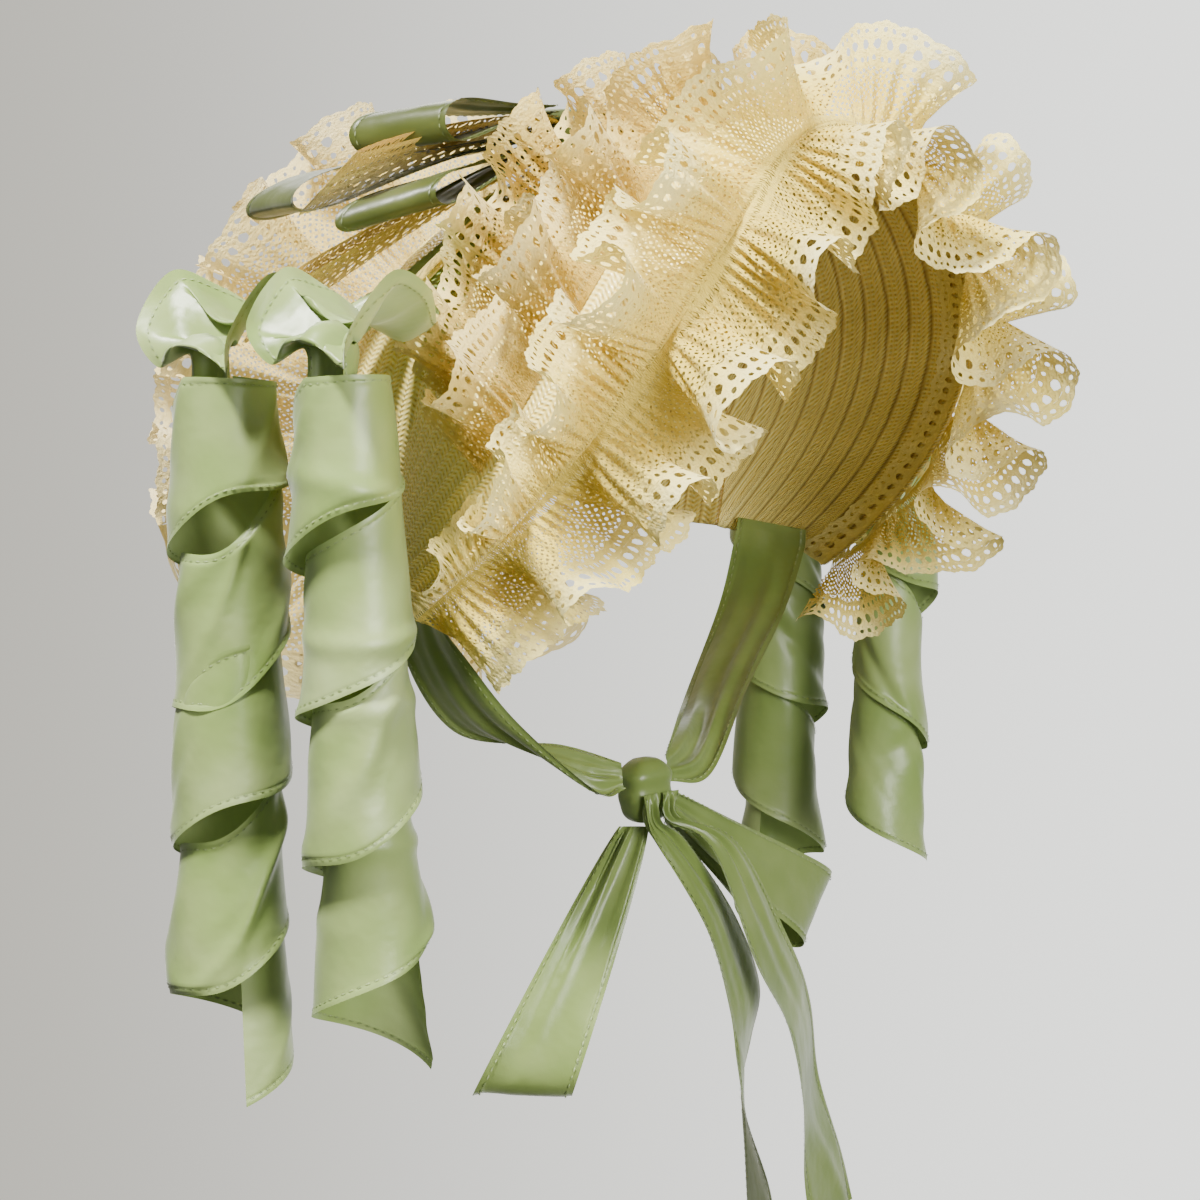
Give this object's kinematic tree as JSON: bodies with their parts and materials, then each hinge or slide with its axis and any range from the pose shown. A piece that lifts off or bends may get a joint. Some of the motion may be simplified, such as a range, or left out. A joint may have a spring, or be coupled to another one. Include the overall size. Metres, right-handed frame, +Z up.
{
  "type": "poke bonnet",
  "caption": "Poke bonnet with a deep straw brim, gathered lace ruffles round its edge and back, a satin bow on top, hanging spiral ribbon curls and ribbon ties bowed under the chin.",
  "frame": {"origin": "the inside of the crown's top, where it rests on the head", "axes": "+Z up, the wearer faces -Y, the wearer's right is -X"},
  "size_m": [0.3447, 0.3256, 0.4793],
  "materials": {
    "straw_braid": "sewn straw braid, slightly glossy",
    "cream_lace": "matte cotton lace",
    "olive_satin": "satin ribbon, glossy",
    "sage_satin": "satin ribbon, glossy"
  },
  "bodies": {
    "root": {"bow_knot": "olive_satin", "bow_lace_front_left": "cream_lace", "bow_lace_front_right": "cream_lace", "bow_lace_rear_left": "cream_lace", "bow_lace_rear_right": "cream_lace", "bow_lace_upper_left": "cream_lace", "bow_lace_upper_right": "cream_lace", "bow_loop_front_left": "olive_satin", "bow_loop_front_right": "olive_satin", "bow_loop_rear_left": "olive_satin", "bow_loop_rear_right": "olive_satin", "bow_loop_upper_left": "olive_satin", "bow_loop_upper_right": "olive_satin", "brim": "straw_braid", "chin_knot": "sage_satin", "chin_loop_left": "sage_satin", "chin_loop_right": "sage_satin", "chin_tail_left": "sage_satin", "chin_tail_right": "sage_satin", "chin_tie_left": "sage_satin", "chin_tie_right": "sage_satin", "crown": "straw_braid", "curl_left_front": "sage_satin", "curl_left_rear": "sage_satin", "curl_right_front": "sage_satin", "curl_right_rear": "sage_satin", "drape_left_front": "sage_satin", "drape_left_rear": "sage_satin", "drape_right_front": "sage_satin", "drape_right_rear": "sage_satin", "edge_band": "cream_lace", "front_ruffle": "cream_lace", "rear_ruffle": "cream_lace", "second_ruffle": "cream_lace", "third_ruffle": "cream_lace"}
  },
  "joints": []
}
